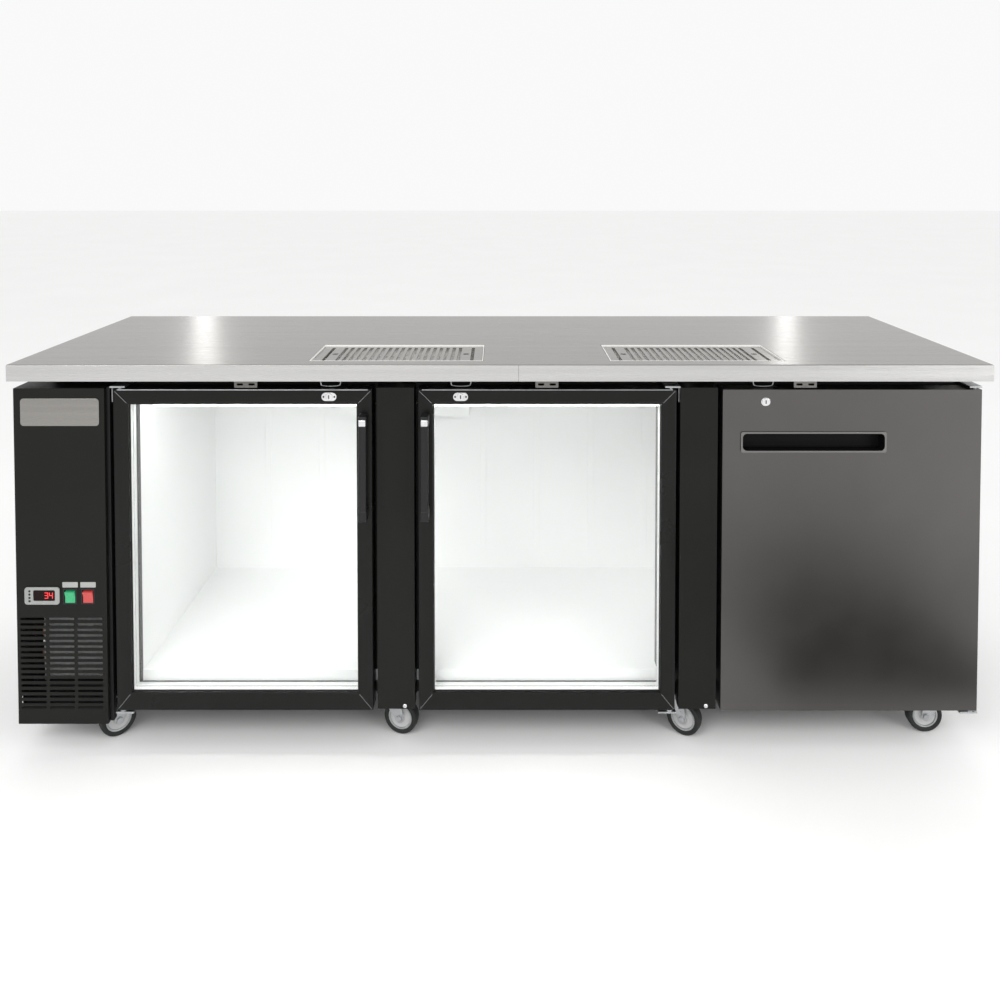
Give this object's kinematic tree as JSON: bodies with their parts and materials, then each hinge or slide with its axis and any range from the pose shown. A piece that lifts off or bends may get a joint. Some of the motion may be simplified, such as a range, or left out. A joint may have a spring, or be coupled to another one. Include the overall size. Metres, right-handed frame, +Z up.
{
  "type": "kegerator",
  "caption": "Long back-bar keg cooler with glass and solid doors, a compressor bay at one end, a steel worktop with lift-out drip grilles, and swivel casters.",
  "frame": {"origin": "centre of the whole bounding box at floor level", "axes": "+X to the right seen from the front, +Y towards the rear, +Z up"},
  "size_m": [2.34, 0.733, 0.94],
  "materials": {
    "cabinet_black": "black powder coat, fine texture, semi-gloss",
    "door_black": "black powder coat, fine texture, semi-gloss",
    "solid_door": "dark grey coated steel sheet, satin",
    "liner": "pale coated liner, satin",
    "dark_steel": "dark enamelled steel, satin",
    "stainless": "brushed stainless sheet, long grain",
    "zinc": "bright zinc-plated pressed steel",
    "chrome": "polished plating",
    "aluminium": "plain mill-finish aluminium",
    "glass": "clear sealed double glazing",
    "gasket": "black magnetic gasket, matt",
    "tyre": "black moulded tread, matt",
    "hub": "pale grey moulded hub",
    "handle_black": "black textured moulding",
    "controller_grey": "light grey moulding",
    "display_red": "dark red filter window",
    "rocker_green": "green rocker, glossy",
    "rocker_red": "red rocker, glossy",
    "compressor_black": "black gloss enamel",
    "fan_black": "black moulding",
    "copper": "bare copper pipe",
    "label_white": "plain printed label",
    "led_white": "white diffuser"
  },
  "bodies": {
    "cabinet": {"floor_panel": "liner", "ceiling_panel": "liner", "rear_panel": "cabinet_black", "bulkhead_panel": "cabinet_black", "right_end_panel": "cabinet_black", "mullion_left": "cabinet_black", "mullion_right": "cabinet_black", "front_cover": "cabinet_black", "side_cover": "cabinet_black", "underframe": "dark_steel", "fan_shroud": "dark_steel", "worktop": "stainless", "drip_tray_left": "stainless", "drip_tray_right": "stainless", "compressor": "compressor_black", "condenser": "aluminium", "evaporator_housing": "aluminium", "temperature_controller": "controller_grey", "door_1_hinge_top": "zinc", "door_1_hinge_bottom": "zinc", "door_2_hinge_top": "zinc", "door_2_hinge_bottom": "zinc", "door_3_hinge_top": "zinc", "door_3_hinge_bottom": "zinc"},
    "door_1": {"door_1_frame": "door_black", "door_1_glass": "glass", "door_1_gasket": "gasket", "door_1_handle": "handle_black"},
    "door_2": {"door_2_frame": "door_black", "door_2_glass": "glass", "door_2_gasket": "gasket", "door_2_handle": "handle_black"},
    "door_3": {"door_3_panel": "solid_door", "door_3_gasket": "gasket", "door_3_pull_cup": "handle_black"},
    "lock_1": {"door_1_lock": "chrome"},
    "lock_2": {"door_2_lock": "chrome"},
    "lock_3": {"door_3_lock": "chrome"},
    "grille_left": {"drip_grille_left": "stainless"},
    "grille_right": {"drip_grille_right": "stainless"},
    "cooling_fan": {"condenser_fan": "aluminium"},
    "air_fan": {"evaporator_fan": "fan_black"},
    "power_rocker": {"power_switch": "rocker_green"},
    "light_rocker": {"light_switch": "rocker_red"},
    "swivel_1": {"caster_1_fork": "zinc"},
    "wheel_1": {"caster_1_wheel": "tyre"},
    "swivel_2": {"caster_2_fork": "zinc"},
    "wheel_2": {"caster_2_wheel": "tyre"},
    "swivel_3": {"caster_3_fork": "zinc"},
    "wheel_3": {"caster_3_wheel": "tyre"},
    "swivel_4": {"caster_4_fork": "zinc"},
    "wheel_4": {"caster_4_wheel": "tyre"},
    "swivel_5": {"caster_5_fork": "zinc"},
    "wheel_5": {"caster_5_wheel": "tyre"},
    "swivel_6": {"caster_6_fork": "zinc"},
    "wheel_6": {"caster_6_wheel": "tyre"},
    "swivel_7": {"caster_7_fork": "zinc"},
    "wheel_7": {"caster_7_wheel": "tyre"},
    "swivel_8": {"caster_8_fork": "zinc"},
    "wheel_8": {"caster_8_wheel": "tyre"}
  },
  "joints": [
    {"name": "door_1_swing", "type": "hinge", "parent": "cabinet", "child": "door_1", "pos_m": [-0.912, -0.3165, 0.487], "axis": [0, 0, -1], "range_deg": [0, 110], "stiffness_Nm_per_rad": 2, "springref_deg": -20.05},
    {"name": "door_2_swing", "type": "hinge", "parent": "cabinet", "child": "door_2", "pos_m": [0.41, -0.3165, 0.487], "axis": [0, 0, 1], "range_deg": [0, 110], "stiffness_Nm_per_rad": 2, "springref_deg": -20.05},
    {"name": "door_3_swing", "type": "hinge", "parent": "cabinet", "child": "door_3", "pos_m": [1.138, -0.3165, 0.487], "axis": [0, 0, 1], "range_deg": [0, 110], "stiffness_Nm_per_rad": 2, "springref_deg": -20.05},
    {"name": "lock_1_turn", "type": "hinge", "parent": "door_1", "child": "lock_1", "pos_m": [-0.408, -0.3285, 0.86], "axis": [0, 1, 0], "range_deg": [0, 90]},
    {"name": "lock_2_turn", "type": "hinge", "parent": "door_2", "child": "lock_2", "pos_m": [-0.094, -0.3285, 0.86], "axis": [0, -1, 0], "range_deg": [0, 90]},
    {"name": "lock_3_turn", "type": "hinge", "parent": "door_3", "child": "lock_3", "pos_m": [0.634, -0.3285, 0.848], "axis": [0, -1, 0], "range_deg": [0, 90]},
    {"name": "grille_left_lift", "type": "slide", "parent": "cabinet", "child": "grille_left", "axis": [0, 0, 1], "range_m": [0, 0.06]},
    {"name": "grille_right_lift", "type": "slide", "parent": "cabinet", "child": "grille_right", "axis": [0, 0, 1], "range_m": [0, 0.06]},
    {"name": "cooling_fan_spin", "type": "hinge", "parent": "cabinet", "child": "cooling_fan", "pos_m": [-1.054, -0.2009, 0.231], "axis": [0, 1, 0], "continuous": true},
    {"name": "air_fan_spin", "type": "hinge", "parent": "cabinet", "child": "air_fan", "pos_m": [-0.28, 0.2042, 0.75285], "axis": [0, 1, 0], "continuous": true},
    {"name": "power_rocker_tilt", "type": "hinge", "parent": "cabinet", "child": "power_rocker", "pos_m": [-1.0325, -0.3195, 0.377], "axis": [-1, 0, 0], "range_deg": [0, 20]},
    {"name": "light_rocker_tilt", "type": "hinge", "parent": "cabinet", "child": "light_rocker", "pos_m": [-0.9895, -0.3195, 0.377], "axis": [-1, 0, 0], "range_deg": [0, 20]},
    {"name": "swivel_1_turn", "type": "hinge", "parent": "cabinet", "child": "swivel_1", "pos_m": [-0.93185, -0.2485, 0.1], "axis": [0, 0, 1], "continuous": true},
    {"name": "wheel_1_roll", "type": "hinge", "parent": "swivel_1", "child": "wheel_1", "pos_m": [-0.951, -0.26457, 0.0425], "axis": [0.6428, -0.766, 0], "continuous": true},
    {"name": "swivel_2_turn", "type": "hinge", "parent": "cabinet", "child": "swivel_2", "pos_m": [-0.26903, -0.2485, 0.1], "axis": [0, 0, 1], "continuous": true},
    {"name": "wheel_2_roll", "type": "hinge", "parent": "swivel_2", "child": "wheel_2", "pos_m": [-0.245, -0.25539, 0.0425], "axis": [0.2756, 0.9613, 0], "continuous": true},
    {"name": "swivel_3_turn", "type": "hinge", "parent": "cabinet", "child": "swivel_3", "pos_m": [0.4378, -0.2485, 0.1], "axis": [0, 0, 1], "continuous": true},
    {"name": "wheel_3_roll", "type": "hinge", "parent": "swivel_3", "child": "wheel_3", "pos_m": [0.459, -0.26175, 0.0425], "axis": [0.5299, 0.848, 0], "continuous": true},
    {"name": "swivel_4_turn", "type": "hinge", "parent": "cabinet", "child": "swivel_4", "pos_m": [1.08499, -0.2485, 0.1], "axis": [0, 0, 1], "continuous": true},
    {"name": "wheel_4_roll", "type": "hinge", "parent": "swivel_4", "child": "wheel_4", "pos_m": [1.06, -0.24763, 0.0425], "axis": [-0.0349, -0.9994, 0], "continuous": true},
    {"name": "swivel_5_turn", "type": "hinge", "parent": "cabinet", "child": "swivel_5", "pos_m": [-1.04048, 0.2765, 0.1], "axis": [0, 0, 1], "continuous": true},
    {"name": "wheel_5_roll", "type": "hinge", "parent": "swivel_5", "child": "wheel_5", "pos_m": [-1.02, 0.29084, 0.0425], "axis": [-0.5736, 0.8192, 0], "continuous": true},
    {"name": "swivel_6_turn", "type": "hinge", "parent": "cabinet", "child": "swivel_6", "pos_m": [-0.22151, 0.2765, 0.1], "axis": [0, 0, 1], "continuous": true},
    {"name": "wheel_6_roll", "type": "hinge", "parent": "swivel_6", "child": "wheel_6", "pos_m": [-0.245, 0.28505, 0.0425], "axis": [-0.342, -0.9397, 0], "continuous": true},
    {"name": "swivel_7_turn", "type": "hinge", "parent": "cabinet", "child": "swivel_7", "pos_m": [0.43485, 0.2765, 0.1], "axis": [0, 0, 1], "continuous": true},
    {"name": "wheel_7_roll", "type": "hinge", "parent": "swivel_7", "child": "wheel_7", "pos_m": [0.459, 0.28297, 0.0425], "axis": [-0.2588, 0.9659, 0], "continuous": true},
    {"name": "swivel_8_turn", "type": "hinge", "parent": "cabinet", "child": "swivel_8", "pos_m": [1.08349, 0.2765, 0.1], "axis": [0, 0, 1], "continuous": true},
    {"name": "wheel_8_roll", "type": "hinge", "parent": "swivel_8", "child": "wheel_8", "pos_m": [1.06, 0.26795, 0.0425], "axis": [0.342, -0.9397, 0], "continuous": true}
  ]
}
